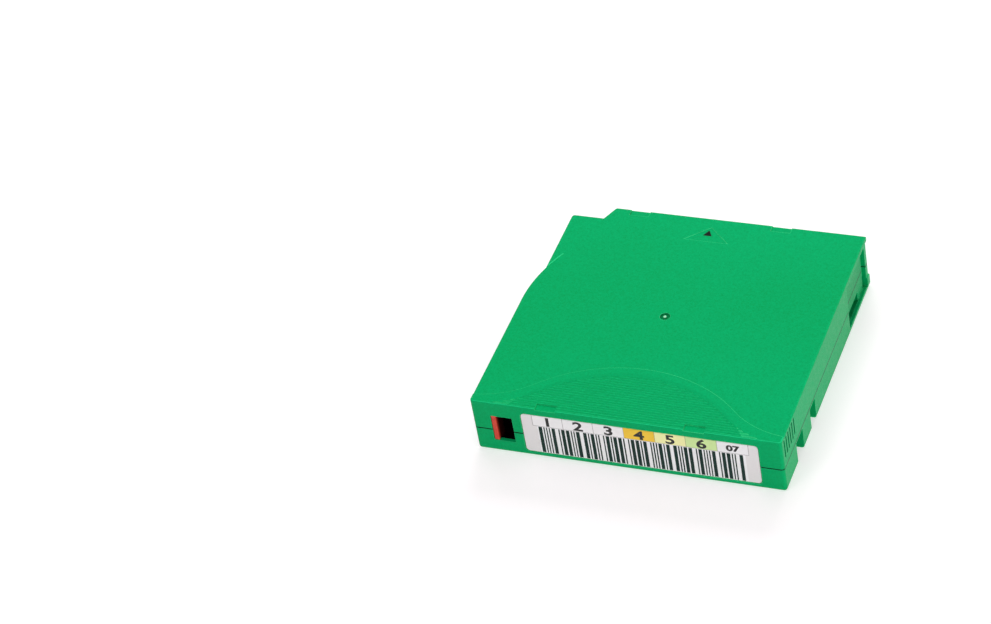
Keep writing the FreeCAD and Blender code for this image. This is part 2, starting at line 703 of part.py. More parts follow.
def lower_shell():
    outside = case_block("lower_block", "0", ("0", "seam_height"))
    outside = rounded("lower_corners", outside, value("corner_radius"), upright_corners)
    outside = rounded("lower_outside", outside, value("base_radius"), level_edges(0))
    room = case_block("lower_room", "wall", ("floor_thickness", "seam_height + 1"))
    tray = cut("lower_tray", outside, room)

    inside = ("0.5 * floor_thickness", "seam_height")
    low = "0.5 * floor_thickness"
    rim = ring(
        "spindle_rim",
        "spindle_radius + 1.8",
        "spindle_radius",
        "reel_x",
        "0",
        (low, "floor_thickness + rim_height"),
    )
    bosses = [post(n + "_lower_boss", 12, "boss_wall", x, y, inside) for n, x, y in SCREWS]
    notches = notch_boxes("notch_block", "inner_wall", inside)
    rail = box(
        "slider_rail",
        ("0.5 * wall - half_width", "window_x + window_width + inner_wall"),
        ("rail_y", "rail_y + inner_wall"),
        (low, "window_base - 0.5"),
    )
    stop = box(
        "slider_stop",
        ("slider_x + slider_travel + slide_gap", "slider_x + slider_travel + slide_gap + inner_wall"),
        ("0.5 * wall - half_depth", "rail_y + 0.5 * inner_wall"),
        (low, "window_base - 0.5"),
    )
    seat = pin_seat("lower_pin_seat", (low, "floor_thickness + seat_height"))
    sill = box(
        "door_sill_wall",
        ("half_width - slot_depth - inner_wall", "half_width - slot_depth"),
        ("opening_y - inner_wall", "tab_y - 0.5"),
        (low, "door_sill - slide_gap"),
    )
    block_x = ("half_width - slot_depth - 2 * inner_wall", "half_width - slot_depth")
    block_y = ("block_y", "half_depth - 0.5 * wall")
    block = box("lower_corner_block", block_x, block_y, inside)
    closed = box(
        "lower_corner_cheek",
        ("half_width - slot_depth - inner_wall", "half_width - wall"),
        block_y,
        ("door_sill", "seam_height"),
    )
    corner_post = box(
        "lower_post",
        ("half_width - door_post_depth", "half_width - wall + 0.1"),
        ("half_depth - door_post", "half_depth - 0.5 * wall"),
        inside,
    )
    coil_rail = box(
        "coil_rail",
        ("coil_x - coil_radius - 3 * coil_wire - inner_wall", "coil_x - coil_radius - 3 * coil_wire"),
        ("coil_end - inner_wall", "way_low"),
        (low, "seam_height"),
    )
    coil_stop = box(
        "coil_stop",
        ("coil_x - coil_radius - 3 * coil_wire - inner_wall", "half_width - 0.5 * wall"),
        ("coil_end - inner_wall", "coil_end"),
        (low, "seam_height"),
    )
    socket_y = "socket_y - half_depth"
    sockets = []
    for side, x in (("left", "0 - socket_x"), ("right", "socket_x")):
        reach = (low, "socket_depth + 1")
        sockets.append(post(f"socket_boss_{side}", 12, "socket_radius + 1.3", x, socket_y, reach))
    slot_x = "0 - socket_x - socket_slot"
    reach = (low, "socket_depth + 1")
    sockets.append(post("socket_boss_slot", 12, "socket_radius + 1.3", slot_x, socket_y, reach))
    leaf_ribs = [
        box(
            f"leaf_rib_{side}",
            (x, f"{x} + inner_wall"),
            ("leaf_y + leaf_thickness + 0.4", "half_depth - 0.5 * wall"),
            (low, "seam_height - 1"),
        )
        for side, x in (("right", "pin_x - leaf_reach + leaf_thickness + slide_gap"),)
    ]
    whole = fuse(
        "lower_solid",
        tray,
        rim,
        *bosses,
        *notches,
        rail,
        stop,
        seat,
        sill,
        block,
        closed,
        corner_post,
        coil_rail,
        coil_stop,
        *sockets,
        *leaf_ribs,
        chip_cradle(),
        reel_guard("lower_guard", (low, "seam_height - 1.4")),
    )

    cuts = shell_cuts("lower", None)
    cuts += notch_boxes("notch", "0", ("0 - 1", "notch_height"))
    cuts.append(rod("spindle_opening", "spindle_radius", "reel_x", "0", ("0 - 1", "reel_base")))
    spindle_lead = doc.addObject("Part::Cone", "spindle_lead")
    bind(spindle_lead, Radius1="spindle_radius + 1.2", Radius2="spindle_radius", Height="1.2")
    bind(spindle_lead, Base_x="reel_x", Base_z="0 - 0.4")
    cuts.append(spindle_lead)
    for n, x, y in SCREWS:
        head = ("0 - 1", "screw_low + screw_head_height")
        cuts.append(rod(n + "_head_room", "screw_head + 0.25", x, y, head))
        cuts.append(post(n + "_shank_room", 8, "screw_radius + 0.3", x, y, ("0", "seam_height + 1")))
    reach = ("0 - 1", "socket_depth")
    cuts.append(rod("socket_right", "socket_radius", "socket_x", socket_y, reach))
    cuts.append(rod("socket_left", "socket_radius", "0 - socket_x", socket_y, reach))
    cuts.append(rod("socket_left_end", "socket_radius", slot_x, socket_y, reach))
    slot_y = (f"{socket_y} - socket_radius", f"{socket_y} + socket_radius")
    cuts.append(box("socket_left_middle", (slot_x, "0 - socket_x"), slot_y, reach))
    cuts.append(
        box(
            "lower_door_groove",
            ("door_back - slide_gap", "door_face + slide_gap"),
            ("way_low", "block_y"),
            ("floor_thickness - door_groove", "floor_thickness + 0.1"),
        )
    )
    slot_z = ("slot_floor", "door_sill")
    beside = "half_width - door_post_depth"
    slot_y = ("block_y", "half_depth - door_post")
    cuts.append(box("opener_slot", ("half_width - slot_depth", "half_width + 1"), slot_y, slot_z))
    mouth_y = ("block_y", "half_depth + 1")
    cuts.append(box("opener_mouth", ("half_width - slot_depth", beside), mouth_y, slot_z))
    cuts.append(
        box(
            "opener_way",
            ("door_face - 0.5 * door_thickness", "half_width + 1"),
            ("opening_y", "block_y + 0.1"),
            ("floor_thickness", "door_sill + 0.1"),
        )
    )
    return finished("lower_shell", cut("lower_shell_solid", whole, *cuts, refine=True))


def chip_cradle():
    """A 45 degree block with a pocket that holds the memory chip."""
    y = ("chip_y", "chip_y + chip_width + 2 * inner_wall")
    block = box(
        "cradle_block",
        ("chip_x", "chip_x + cradle_leg"),
        y,
        ("0.5 * floor_thickness", "floor_thickness + cradle_leg"),
    )
    slope = slanted_box("cradle_slope", "0 - 2 * cradle_leg", "2 * cradle_leg", "0", "3 * cradle_leg", "0")
    pocket = slanted_box(
        "cradle_pocket",
        "0 - 0.5 * chip_length - 0.5 * slide_gap",
        "0.5 * chip_length + 0.5 * slide_gap",
        "0 - chip_thickness",
        "1",
        "inner_wall - 0.5 * slide_gap",
    )
    return cut("chip_cradle", block, slope, pocket)


def slanted_box(name, low, high, under, over, margin):
    """A block in the frame of the cradle's slope: along the slope, and off its face."""
    item = doc.addObject("Part::Box", name)
    item.Placement = FreeCAD.Placement(Vector(), FreeCAD.Rotation(Vector(0, 1, 0), 45))
    middle_x = "chip_x + 0.5 * cradle_leg"
    middle_z = "floor_thickness + 0.5 * cradle_leg"
    root = "sqrt(0.5)"
    bind(item, Length=f"({high}) - ({low})", Height=f"({over}) - ({under})")
    bind(item, Width=f"chip_width + 2 * inner_wall - 2 * ({margin})")
    bind(
        item,
        Base_x=f"{middle_x} + {root} * (({low}) + ({under}))",
        Base_y=f"chip_y + {margin}",
        Base_z=f"{middle_z} + {root} * (({under}) - ({low}))",
    )
    return item


def upper_shell():
    outside = case_block("upper_block", "0", ("seam_height", "top"))
    outside = rounded("upper_corners", outside, value("corner_radius"), upright_corners)
    outside = rounded("upper_outside", outside, value("edge_radius"), level_edges(value("top")))
    raised = case_block("raised_block", "0", ("top - edge_radius - 1", "case_height"))
    raised = rounded("raised_corners", raised, value("corner_radius"), upright_corners)
    raised = rounded(
        "raised_outside", raised, value("edge_radius"), level_edges(value("case_height"))
    )
    arch = arch_block("arch", "0", ("top - edge_radius - 2", "case_height + 1"))
    plateau = common("plateau", raised, arch)
    room = case_block("upper_room", "wall", ("seam_height - 1", "ceiling"))
    cap = cut("upper_cap", fuse("upper_whole", outside, plateau), room)

    inside = ("seam_height", "ceiling + 0.5")
    bosses = [post(n + "_upper_boss", 12, "boss_wall - 0.6", x, y, inside) for n, x, y in SCREWS]
    half_key = "0.5 * key_length"
    half_arm = "0.5 * key_thickness"
    key_z = ("key_base", "ceiling + 0.5")
    along = (f"reel_x - {half_key}", f"reel_x + {half_key}")
    across = (f"reel_x - {half_arm}", f"reel_x + {half_arm}")
    key_a = box("key_along", along, (f"0 - {half_arm}", half_arm), key_z)
    key_b = box("key_across", across, (f"0 - {half_key}", half_key), key_z)
    rail = box(
        "upper_slider_rail",
        ("0.5 * wall - half_width", "window_x + window_width + inner_wall"),
        ("rail_y", "rail_y + inner_wall"),
        ("window_base + window_height + 0.5", "ceiling + 0.5"),
    )
    seat = pin_seat("upper_pin_seat", ("ceiling - seat_height", "ceiling + 0.5"))
    block_y = ("block_y", "half_depth - 0.5 * wall")
    cheek = box(
        "upper_corner_cheek",
        ("half_width - slot_depth - 2 * inner_wall", "half_width - wall"),
        block_y,
        inside,
    )
    corner_post = box(
        "upper_post",
        ("half_width - door_post_depth", "half_width - wall + 0.1"),
        ("half_depth - door_post", "half_depth - 0.5 * wall"),
        inside,
    )
    whole = fuse(
        "upper_solid",
        cap,
        *bosses,
        key_a,
        key_b,
        rail,
        seat,
        cheek,
        corner_post,
        reel_bead(),
    )

    cuts = shell_cuts("upper", None)
    cuts += top_cuts()
    cuts += thumb_grooves()
    cuts.append(
        cut(
            "seam_line",
            case_block("seam_line_outside", "0 - 1", ("seam_height - 1", "seam_height + seam_width")),
            case_block("seam_line_inside", "seam_groove", ("seam_height - 2", "seam_height + 1")),
        )
    )
    cuts.append(
        box(
            "upper_door_groove",
            ("door_back - slide_gap", "door_face + slide_gap"),
            ("way_low", "block_y"),
            ("ceiling - 0.1", "ceiling + door_groove"),
        )
    )
    for n, x, y in SCREWS:
        depth = ("seam_height - 1", "screw_low + screw_length + 0.5")
        cuts.append(post(n + "_pilot", 8, "screw_radius + 0.2 * slide_gap", x, y, depth))
    return finished("upper_shell", cut("upper_shell_solid", whole, *cuts, refine=True))


def reel_bead():
    """The short bead on the top where the side leaves the reel's circle."""
    start = value("atan2(sqrt(relief_radius^2 - (setback_x - reel_x)^2); setback_x - reel_x)")
    sweep = value("bead_sweep")
    rings = []
    for end, radius in (("outside", "relief_radius"), ("inside", "relief_radius - bead_width")):
        item = doc.addObject("Part::Cylinder", "bead_" + end)
        item.Placement = FreeCAD.Placement(
            Vector(), FreeCAD.Rotation(Vector(0, 0, 1), start - sweep - BEAD_LEAD)
        )
        bind(item, Radius=radius, Angle="bead_sweep", Height="0.5 + bead_rise")
        bind(item, Base_x="reel_x", Base_z="top - 0.5")
        rings.append(item)
    return cut("reel_bead", *rings)


BEAD_LEAD = 1.2      # degrees between the side's edge and the bead


def top_cuts():
    """Grip grooves, edge recesses, insertion arrow and gate dimple."""
    rows = []
    count = int(value("grip_row_count"))
    for row in range(count):
        middle = f"grip_start + {row} * grip_pitch - half_depth"
        y = (f"{middle} - 0.5 * grip_width", f"{middle} + 0.5 * grip_width")
        x = ("0 - half_width - 1", "half_width + 1")
        rows.append(box(f"grip_{row}", x, y, ("case_height - grip_depth", "case_height + 1")))
    field = arch_block("grip_field", "grip_margin", ("case_height - 1", "case_height + 2"))
    margin_x = ("1.6 * edge_radius - half_width", "half_width - 1.6 * edge_radius")
    frame = box("grip_frame", margin_x, ("0 - half_depth - 1", "0"), ("case_height - 1", "case_height + 2"))
    grips = common("grip_grooves", fuse("grip_rows_all", *rows), common("grip_area", field, frame))

    pads = []
    for side, sign in (("left", "-"), ("right", "+")):
        middle = f"0 - pad_shift {sign} 0.5 * pad_spacing"
        x = (f"{middle} - 0.5 * pad_width", f"{middle} + 0.5 * pad_width")
        front = ("0 - half_depth - 1", "pad_length - half_depth")
        rear = ("half_depth - pad_length", "half_depth + 1")
        pads.append(box(f"pad_front_{side}", x, front, ("case_height - pad_drop", "case_height + 1")))
        pads.append(box(f"pad_rear_{side}", x, rear, ("top - pad_drop", "case_height + 1")))

    tip = "half_depth - arrow_margin"
    arrow = prism(
        "arrow",
        [
            ("0 - 0.5 * arrow_width", f"{tip} - arrow_length"),
            ("0.5 * arrow_width", f"{tip} - arrow_length"),
            ("0", tip),
        ],
        ("top - arrow_drop", "top + 1"),
    )
    gate = ring("gate_dimple", "gate_radius", "gate_nub", "reel_x", "0", ("top - gate_drop", "top + 1"))
    return [grips, *pads, arrow, gate]


def thumb_grooves():
    """Six upright grooves with round lower ends on each side of the label end."""
    grooves = []
    half = "0.5 * thumb_width"
    for index in range(6):
        y = f"thumb_start + {index} * thumb_pitch - half_depth"
        x = ("half_width - thumb_depth", "half_width + 1")
        for side, span in (("right", x), ("left", mirrored_x(x))):
            name = f"thumb_{side}_{index}"
            grooves.append(box(name, span, (f"{y} - {half}", f"{y} + {half}"), ("thumb_low", "thumb_high")))
    return grooves


# ---------------------------------------------------------------- the reel


def reel():
    legs = [math.radians(angle) for angle in LEG_ANGLES]
    hub = turned(
        "hub_body",
        [
            ("0", "tooth_root + plate_thickness"),
            ("plate_radius + slide_gap", "tooth_root + plate_thickness"),
            ("plate_radius + slide_gap", "tooth_root"),
            ("boss_radius", "tooth_root"),
            ("boss_radius", "reel_base"),
            ("flange_radius", "reel_base"),
            ("flange_radius", "reel_base + flange_thickness"),
            ("hub_radius", "reel_base + flange_thickness"),
            ("hub_radius", "cover_base"),
            ("cup_radius", "cover_base"),
            ("cup_radius", "cup_floor"),
            ("0", "cup_floor"),
        ],
        "reel_x",
        "0",
    )
    pedestal = ring(
        "brake_pedestal",
        "brake_ring_outer + 0.3",
        "brake_ring_inner - 0.3",
        "reel_x",
        "0",
        ("cup_floor - 0.5", "brake_root"),
    )
    drive = tooth_ring(
        "drive_teeth",
        int(value("drive_tooth_count")),
        value("drive_ring_inner"),
        value("drive_ring_outer"),
        value("tooth_root"),
        value("drive_tooth_height"),
        -1,
        0.5,
        [(leg, value("(leg_radius + leg_gap + 0.5) / leg_circle")) for leg in legs],
    )
    brake = tooth_ring(
        "hub_brake_teeth",
        int(value("brake_tooth_count")),
        value("brake_ring_inner"),
        value("brake_ring_outer"),
        value("brake_root"),
        value("brake_tooth_height"),
        1,
        0.5,
        [(leg, value("(0.5 * release_arm + leg_gap) / brake_ring_inner + 0.06")) for leg in legs],
    )
    whole = fuse("hub_solid", hub, pedestal, drive, brake)
    holes = []
    for index, angle in enumerate(LEG_ANGLES):
        x = f"reel_x + leg_circle * cos({angle})"
        y = f"leg_circle * sin({angle})"
        holes.append(post(f"leg_hole_{index}", 12, "leg_radius + leg_gap", x, y, ("0", "cup_floor + 0.1")))
        arm_z = ("cup_floor", "disc_base")
        holes.append(arm_box(f"arm_slot_{index}", angle, "leg_gap", arm_z, "cup_radius - 0.3"))
    finished("reel_hub", cut("reel_hub_solid", whole, *holes))

    plate = turned(
        "reel_plate_body",
        [
            ("plate_bore", "tooth_root"),
            ("plate_radius", "tooth_root"),
            ("plate_radius", "tooth_root + plate_thickness"),
            ("plate_bore", "tooth_root + plate_thickness"),
        ],
        "reel_x",
        "0",
    )
    finished("reel_plate", plate)
    cover = turned(
        "reel_cover_body",
        [
            ("cup_radius", "cover_base"),
            ("flange_radius", "cover_base"),
            ("flange_radius", "cover_base + cover_thickness"),
            ("cup_radius", "cover_base + cover_thickness"),
        ],
        "reel_x",
        "0",
    )
    finished("reel_top_flange", cover)
    pack = turned(
        "tape_pack_body",
        [
            ("hub_radius + 0.5 * slide_gap", "pack_base"),
            ("pack_radius", "pack_base"),
            ("pack_radius", "pack_top"),
            ("hub_radius + 0.5 * slide_gap", "pack_top"),
        ],
        "reel_x",
        "0",
    )
    finished("tape_pack", pack)


LEG_ANGLES = (0, 120, 240)


def arm_box(name, angle, margin, z, reach):
    """A radial bar from the reel axis, as wide as a release arm and its margin."""
    item = doc.addObject("Part::Box", name)
    item.Placement = FreeCAD.Placement(Vector(), FreeCAD.Rotation(Vector(0, 0, 1), angle))
    half = f"(0.5 * release_arm + {margin})"
    bind(item, Length=reach, Width=f"2 * {half}", Height=f"({z[1]}) - ({z[0]})")
    bind(item, Base_x=f"reel_x + {half} * sin({angle})", Base_y=f"0 - {half} * cos({angle})", Base_z=z[0])
    return item


def brake():
    button = turned(
        "brake_body",
        [
            ("0", "release_top + 0.5 * slide_gap"),
            ("nub_radius", "release_top + 0.5 * slide_gap"),
            ("nub_radius", "disc_base"),
            ("brake_disc_radius", "disc_base"),
            ("brake_disc_radius", "disc_top"),
            ("stem_radius", "disc_top"),
            ("stem_radius", "stem_top"),
            ("0", "stem_top"),
        ],
        "reel_x",
        "0",
    )
    teeth = tooth_ring(
        "brake_teeth",
        int(value("brake_tooth_count")),
        value("brake_ring_inner"),
        value("brake_ring_outer"),
        value("disc_base"),
        value("brake_tooth_height"),
        -1,
        0.0,
    )
    half_key = "(0.5 * key_length + slide_gap)"
    half_arm = "(0.5 * key_thickness + slide_gap)"
    z = ("key_base - brake_travel - 3 * slide_gap", "stem_top + 1")
    key_a = box(
        "keyway_along",
        (f"reel_x - {half_key}", f"reel_x + {half_key}"),
        (f"0 - {half_arm}", half_arm),
        z,
    )
    key_b = box(
        "keyway_across",
        (f"reel_x - {half_arm}", f"reel_x + {half_arm}"),
        (f"0 - {half_key}", half_key),
        z,
    )
    finished("brake_button", cut("brake_solid", fuse("brake_whole", button, teeth), key_a, key_b))

    base = value("disc_top") + SPRING_SEAT_GAP
    length = value("ceiling") - SPRING_SEAT_GAP - base
    place = FreeCAD.Placement(Vector(value("reel_x"), 0, base), FreeCAD.Rotation())
    spring = coil(
        "brake_spring_coil",
        value("spring_radius"),
        value("spring_wire"),
        length,
        value("spring_turns"),
        place,
    )
    finished("brake_spring", spring)

    z = ("release_base", "release_top")
    middle = rod("release_middle", "release_disc", "reel_x", "0", z)
    arms = []
    for index, angle in enumerate(LEG_ANGLES):
        reach = "leg_circle + leg_radius + 0.2"
        arms.append(arm_box(f"release_arm_{index}", angle, "0", z, reach))
        x = f"reel_x + leg_circle * cos({angle})"
        y = f"leg_circle * sin({angle})"
        foot = ("tooth_tip_height + 0.1", "release_top")
        arms.append(post(f"release_leg_{index}", 12, "leg_radius", x, y, foot))
    finished("release_plate", fuse("release_solid", middle, *arms))


SPRING_SEAT_GAP = 0.05


# ---------------------------------------------------------------- door, pin and tape end


def door():
    x = ("door_back", "door_face")
    plate = box("door_plate", x, ("door_rear", "door_front"), ("door_low", "door_high"))
    plate = rounded(
        "door_plate_round",
        plate,
        value("0.3 * door_thickness"),
        lambda middle, size: size.z > 5 and abs(middle.x - value("door_face")) < 0.01,
    )
    relief = box(
        "door_relief",
        ("door_back - 1", "door_face + 1"),
        ("door_rear + inner_wall", "tab_y"),
        ("0", "door_sill - slide_gap"),
    )
    lug = box(
        "door_lug",
        ("coil_x - 0.6 * coil_radius", "door_face - 0.5 * door_thickness"),
        ("door_rear", "door_rear + inner_wall"),
        ("coil_height - coil_radius", "coil_height + coil_radius"),
    )
    peg = rod_along_y(
        "door_peg",
        "coil_radius - coil_wire - 0.25",
        "coil_x",
        ("door_rear - 3", "door_rear + 0.5 * inner_wall"),
        "coil_height",
    )
    finished("access_door", fuse("door_solid", cut("door_body", plate, relief), lug, peg))

    start = value("coil_end") + SPRING_SEAT_GAP
    length = value("door_rear") - SPRING_SEAT_GAP - start
    place = FreeCAD.Placement(
        Vector(value("coil_x"), start, value("coil_height")),
        FreeCAD.Rotation(Vector(1, 0, 0), -90),
    )
    spring = coil(
        "door_spring_coil",
        value("coil_radius"),
        value("coil_wire"),
        length,
        value("coil_turns"),
        place,
    )
    finished("door_spring", spring)


def leader():
    head_low = "pin_low + pin_head_height"
    head_high = "pin_high - pin_head_height"
    pin = turned(
        "pin_body",
        [
            ("0", "pin_low"),
            ("pin_head", "pin_low"),
            ("pin_head", head_low),
            ("pin_radius", head_low),
            ("pin_radius", head_high),
            ("pin_head", head_high),
            ("pin_head", "pin_high"),
            ("0", "pin_high"),
        ],
        "pin_x",
        "pin_y",
    )
    finished("leader_pin", pin)

    z = ("pack_base", "pack_top")
    bore = "pin_radius + 0.3 * slide_gap"
    clip = ring("clip_ring", "pin_radius + clip_wall", bore, "pin_x", "pin_y", z)
    mouth = box(
        "clip_mouth",
        ("pin_x - 0.5 * pin_radius", "pin_x + 0.5 * pin_radius"),
        ("pin_y - 2 * pin_head", "pin_y"),
        ("pack_base - 1", "pack_top + 1"),
    )
    finished("pin_clip", cut("clip_solid", clip, mouth))

    # the tape end leaves the wound tape on a tangent and runs straight to the pin
    radius = "(pack_radius + leader_gap + 0.5 * leader_thickness)"
    reach = "sqrt((pin_x - reel_x)^2 + pin_y^2)"
    lean = f"(atan2(pin_y; pin_x - reel_x) - acos({radius} / {reach}))"
    tape = doc.addObject("Part::Box", "leader_strip")
    outer = f"({radius} + 0.5 * leader_thickness)"
    bind(
        tape,
        Length=f"sqrt({reach}^2 - {radius}^2) - pin_radius - 0.5 * slide_gap",
        Width="leader_thickness",
        Height="tape_width",
        Base_x=f"reel_x + {outer} * cos({lean})",
        Base_y=f"{outer} * sin({lean})",
        Base_z="pack_base",
    )
    tape.Placement = FreeCAD.Placement(
        tape.Placement.Base, FreeCAD.Rotation(Vector(0, 0, 1), value(lean) + 90)
    )
    finished("tape_leader", tape)

    # two leaf arms hold the heads in their seats, joined by an upright back
    arm = [
        ("pin_x - leaf_reach", "leaf_y"),
        ("pin_x + pin_head + 0.2", "leaf_y"),
        ("pin_x + pin_head + 1.4", "leaf_y - 1.5"),
        ("pin_x + pin_head + 1.7", "leaf_y - 1.3"),
        ("pin_x + pin_head + 0.4", "leaf_y + leaf_thickness"),
        ("pin_x - leaf_reach", "leaf_y + leaf_thickness"),
    ]
    low = prism("leaf_low", arm, ("pin_low", "pin_low + leaf_height"))
    high = prism("leaf_high", arm, ("pin_high - leaf_height", "pin_high"))
    back = box(
        "leaf_back",
        ("pin_x - leaf_reach", "pin_x - leaf_reach + leaf_thickness"),
        ("leaf_y", "half_depth - wall - 2 * slide_gap"),
        ("pin_low", "pin_high"),
    )
    finished("pin_spring", fuse("leaf_solid", low, high, back))


# ---------------------------------------------------------------- small pieces


def write_protect_slider():
    block = box(
        "slider_block",
        ("slider_x - slider_width", "slider_x"),
        ("slider_y", "slider_y + slider_depth"),
        ("floor_thickness + slide_gap", "slider_top"),
    )
    rib = box(
        "slider_finger",
        ("slider_x - slider_rib", "slider_x"),
        ("0.15 - half_depth", "slider_y + 0.5"),
        ("window_base + 1.5 * slide_gap", "window_base + window_height - 1.5 * slide_gap"),
    )
    rib = rounded(
        "slider_finger_round",
        rib,
        0.3,
        lambda middle, size: size.z > 5 and middle.y < value("0.3 - half_depth"),
    )
    hollow = box(
        "slider_hollow",
        ("slider_x - slider_width - 1", "slider_x - slider_rib"),
        ("slider_y + inner_wall", "slider_y + slider_depth + 1"),
        ("floor_thickness + slide_gap + inner_wall", "slider_top - inner_wall"),
    )
    finished("write_protect_slider", cut("slider_solid", fuse("slider_whole", block, rib), hollow))


def label():
    back = "label_recess - half_depth"
    sheet_ = box(
        "label_sheet",
        ("label_start - half_width", "label_start + label_width - half_width"),
        (f"{back} - label_thickness", back),
        ("label_base", "label_base + label_height"),
    )
    finished(
        "label",
        rounded(
            "label_round",
            sheet_,
            value("label_radius"),
            lambda middle, size: size.y > 0.5 * value("label_thickness"),
        ),
    )


def memory_chip():
    low = "0 - 0.5 * chip_length"
    chip = slanted_box(
        "chip_board",
        low,
        "0.5 * chip_length",
        "0.5 * slide_gap - chip_thickness",
        "0.5 * slide_gap",
        "inner_wall",
    )
    finished("memory_chip", chip)


def screws():
    for name, x, y in SCREWS:
        head = rod(name + "_head", "screw_head", x, y, ("screw_low", "screw_low + screw_head_height"))
        shank = post(name + "_shank", 8, "screw_radius", x, y, ("screw_low + 0.5", "screw_low + screw_length"))
        half = "0.62 * screw_head"
        slot = "0.22"
        z = ("screw_low - 1", "screw_low + 0.9")
        cross_a = box(name + "_cross_a", (f"{x} - {half}", f"{x} + {half}"), (f"{y} - {slot}", f"{y} + {slot}"), z)
        cross_b = box(name + "_cross_b", (f"{x} - {slot}", f"{x} + {slot}"), (f"{y} - {half}", f"{y} + {half}"), z)
        finished(name, cut(name + "_solid", fuse(name + "_whole", head, shank), cross_a, cross_b))


# ---------------------------------------------------------------- build, check and write


def fill_sheet():
    for row, (name, number, note) in enumerate(SIZES, start=1):
        sheet.set(f"A{row}", name)
        sheet.set(f"B{row}", str(number))
        sheet.set(f"C{row}", note)
        sheet.setAlias(f"B{row}", name)
    doc.recompute()
    for name, formula in PLACES:
        places.addProperty("App::PropertyFloat", name, "Places", "")
        places.setExpression(name, named(formula))
        places.recompute()
    doc.recompute()


def check():
    doc.recompute()
    for item in doc.Objects:
        faults = [state for state in item.State if state in ("Invalid", "Error")]
        if faults:
            raise RuntimeError(f"{item.Name} is {faults}")
    for piece in pieces:
        shape = piece.Shape
        if shape.isNull() or not shape.isValid():
            raise RuntimeError(f"{piece.Label} has no valid shape")
        if len(shape.Solids) != 1:
            raise RuntimeError(f"{piece.Label} is {len(shape.Solids)} solids, not one")


def write():
    os.makedirs("parts", exist_ok=True)
    for piece in pieces:
        piece.Shape.exportStep(f"parts/{piece.Label}.step")
        box_ = piece.Shape.BoundBox
        print(
            f"{piece.Label:22s} volume {piece.Shape.Volume:9.1f}  "
            f"x {box_.XMin:7.2f} {box_.XMax:7.2f}  y {box_.YMin:7.2f} {box_.YMax:7.2f}  "
            f"z {box_.ZMin:6.2f} {box_.ZMax:6.2f}"
        )


pieces = []
fill_sheet()
lower_shell()
upper_shell()
reel()
brake()
door()
leader()
write_protect_slider()
label()
memory_chip()
screws()
check()
write()
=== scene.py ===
"""Dresses the data tape cartridge: moulded green case, printed label, red write-protect
slider, and the reel, brake, door and leader pin inside. Lengths are in metres."""
import math

import bpy
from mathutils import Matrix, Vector


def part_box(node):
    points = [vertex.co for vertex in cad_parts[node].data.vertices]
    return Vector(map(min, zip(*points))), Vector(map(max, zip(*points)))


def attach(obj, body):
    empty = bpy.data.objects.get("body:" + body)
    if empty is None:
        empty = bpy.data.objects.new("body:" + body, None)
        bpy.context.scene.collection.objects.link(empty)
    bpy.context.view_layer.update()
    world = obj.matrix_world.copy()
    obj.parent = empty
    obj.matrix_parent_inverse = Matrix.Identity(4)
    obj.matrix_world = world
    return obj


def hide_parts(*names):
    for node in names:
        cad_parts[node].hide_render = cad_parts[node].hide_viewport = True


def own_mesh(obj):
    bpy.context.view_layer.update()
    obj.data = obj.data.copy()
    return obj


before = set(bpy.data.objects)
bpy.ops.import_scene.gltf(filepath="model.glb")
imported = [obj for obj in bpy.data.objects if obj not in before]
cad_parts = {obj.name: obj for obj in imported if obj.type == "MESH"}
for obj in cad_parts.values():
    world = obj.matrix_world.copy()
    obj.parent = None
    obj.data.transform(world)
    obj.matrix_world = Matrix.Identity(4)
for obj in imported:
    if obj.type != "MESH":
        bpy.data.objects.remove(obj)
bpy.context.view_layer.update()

MM = 0.001
REEL_X = -1.95 * MM
ARCH_CENTRE = -75.9 * MM
GRIP_REACH = 47.0 * MM

# Places on the case where the colour changes, low and high, in millimetres: painted shade or
# painted highlight, and the dark seam.
BAY_X, BAY_Y, BAY_Z = (-51.3, -30), (-49.7, -30), (1.85, 19.45)
HOLD_X, HOLD_Y, HOLD_Z = (52.15, 52.62), (-48.6, -36), (12.5, 20.3)
SEAM_Z = (9.32, 9.78)
FURROW_Z = (21.28, 21.46)
DIMPLE_Z = (20.6, 21.15)
DIMPLE_RADIUS = 1.8
NUB_RADIUS = 0.56
NUB_BASE = 20.9
GRIP_BASE = 21.25
CREST_BASE = 21.47
HIGHLIGHT_START, HIGHLIGHT_END = -30, 12
EDGE_RADIUS = 0.27

MOTTLE_DARK = (0, 148, 80)
MOTTLE_LIGHT = (4, 190, 122)
# Painted highlight colours for the edges, the grip's furrows and the gate's nub; painted shade
# colours for the crests, the side holds, the gate's dimple and the window's bay.
EDGE_HIGHLIGHT = (76, 236, 158)
FURROW_HIGHLIGHT = (44, 228, 152)
CREST_SHADE = (0, 142, 82)
HOLD_SHADE = (0, 92, 52)
DIMPLE_SHADE = (0, 96, 50)
NUB_HIGHLIGHT = (176, 244, 204)
BAY_SHADE = (16, 10, 9)
SEAM_DARK = (0, 50, 28)


# ---------------------------------------------------------------- finishes


